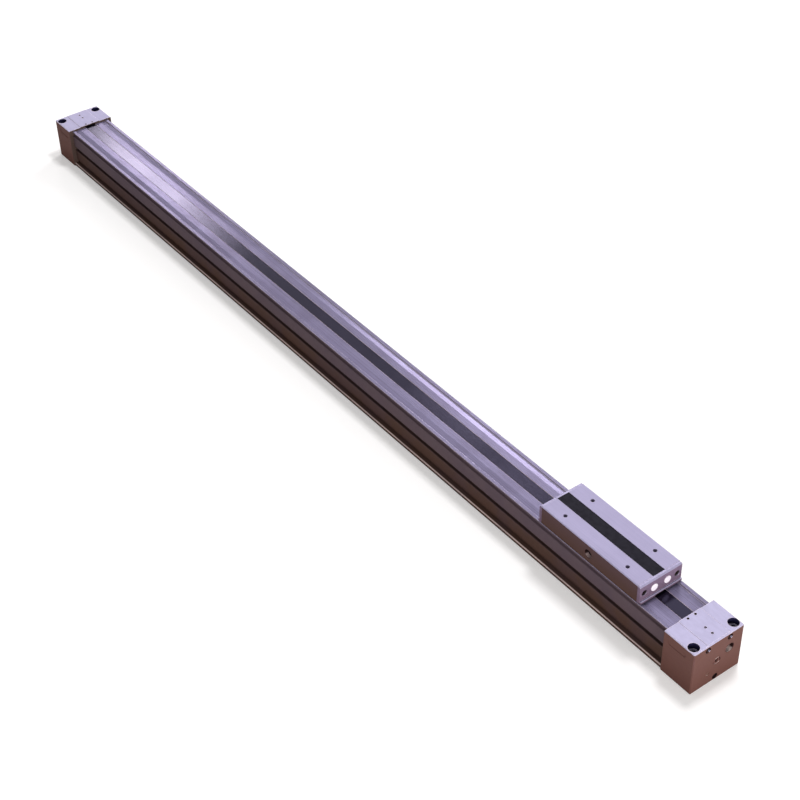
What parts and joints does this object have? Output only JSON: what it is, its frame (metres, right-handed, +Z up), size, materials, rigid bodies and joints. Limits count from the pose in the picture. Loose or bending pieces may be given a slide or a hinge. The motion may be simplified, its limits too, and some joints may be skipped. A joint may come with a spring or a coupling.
{
  "type": "rodless pneumatic cylinder",
  "caption": "Rodless air cylinder: slotted aluminium tube with end covers, a steel dust band, and a table that the piston drives along the tube.",
  "frame": {"origin": "under the middle of the cylinder, in the plane of the head covers' feet", "axes": "+X along the bore towards the end where the table rests, +Z up out of the slit"},
  "size_m": [1.39, 0.072, 0.084],
  "materials": {
    "tube_aluminium": "clear anodised extrusion, fine lengthwise grain",
    "cover_aluminium": "satin anodised casting",
    "table_aluminium": "satin anodised, milled",
    "plated_steel": "nickel plated",
    "black_steel": "black oxide",
    "band_steel": "polished stainless band",
    "brass": "turned",
    "rubber": "moulded",
    "belt_resin": "smooth",
    "bearing_resin": "smooth",
    "dark_resin": "fine matt",
    "felt": "dense felt",
    "magnet": "bonded strip"
  },
  "bodies": {
    "barrel": {"cylinder_tube": "tube_aluminium", "head_cover_near": "cover_aluminium", "head_cover_far": "cover_aluminium", "tube_gasket_near": "rubber", "tube_gasket_far": "rubber", "cushion_ring_near": "brass", "cushion_ring_far": "brass", "port_plug_near": "plated_steel", "port_plug_far": "plated_steel", "tube_bolts_near": "black_steel", "tube_bolts_far": "black_steel", "belt_clamp_near": "cover_aluminium", "belt_clamp_far": "cover_aluminium", "clamp_screws_near": "black_steel", "clamp_screws_far": "black_steel", "bleed_screws_near": "black_steel", "bleed_screws_far": "black_steel", "dust_band": "band_steel", "seal_belt": "belt_resin", "seal_magnet_left": "magnet", "seal_magnet_right": "magnet"},
    "carriage": {"slide_table": "table_aluminium", "table_cover_strip": "dark_resin", "table_end_front": "table_aluminium", "table_end_rear": "table_aluminium", "end_screws_front": "black_steel", "end_screws_rear": "black_steel", "stopper_front": "plated_steel", "stopper_rear": "plated_steel", "scraper_front": "felt", "scraper_rear": "felt", "slide_bearing_left": "bearing_resin", "slide_bearing_right": "bearing_resin", "roller_shaft_front": "plated_steel", "roller_shaft_rear": "plated_steel", "piston_yoke": "table_aluminium", "yoke_bolts": "black_steel", "belt_separator_front": "bearing_resin", "belt_separator_rear": "bearing_resin", "piston_front": "table_aluminium", "piston_rear": "table_aluminium", "piston_pin_front": "plated_steel", "piston_pin_rear": "plated_steel", "piston_seal_front": "rubber", "piston_seal_rear": "rubber", "wear_ring_front": "bearing_resin", "wear_ring_rear": "bearing_resin", "cushion_seal_front": "rubber", "cushion_seal_rear": "rubber", "sensor_magnets": "magnet"},
    "front_roller": {"guide_roller_front": "bearing_resin"},
    "rear_roller": {"guide_roller_rear": "bearing_resin"},
    "near_needle": {"cushion_needle_near": "brass"},
    "far_needle": {"cushion_needle_far": "brass"}
  },
  "joints": [
    {"name": "table_slide", "type": "slide", "parent": "barrel", "child": "carriage", "axis": [1, 0, 0], "range_m": [-1.05, 0], "deforming": ["dust_band", "seal_belt"]},
    {"name": "front_roller_turn", "type": "hinge", "parent": "carriage", "child": "front_roller", "pos_m": [0.5965, 0, 0.0626], "axis": [0, 1, 0], "continuous": true},
    {"name": "rear_roller_turn", "type": "hinge", "parent": "carriage", "child": "rear_roller", "pos_m": [0.4535, 0, 0.0626], "axis": [0, 1, 0], "continuous": true},
    {"name": "near_needle_turn", "type": "hinge", "parent": "barrel", "child": "near_needle", "pos_m": [0.69, -0.0127, 0.0162], "axis": [1, 0, 0], "range_deg": [-360, 360]},
    {"name": "far_needle_turn", "type": "hinge", "parent": "barrel", "child": "far_needle", "pos_m": [-0.69, -0.0127, 0.0162], "axis": [-1, 0, 0], "range_deg": [-360, 360]}
  ],
  "couplings": [
    {"joint": "front_roller_turn", "follows": "table_slide", "rad_per_m": 200},
    {"joint": "rear_roller_turn", "follows": "table_slide", "rad_per_m": 200}
  ]
}
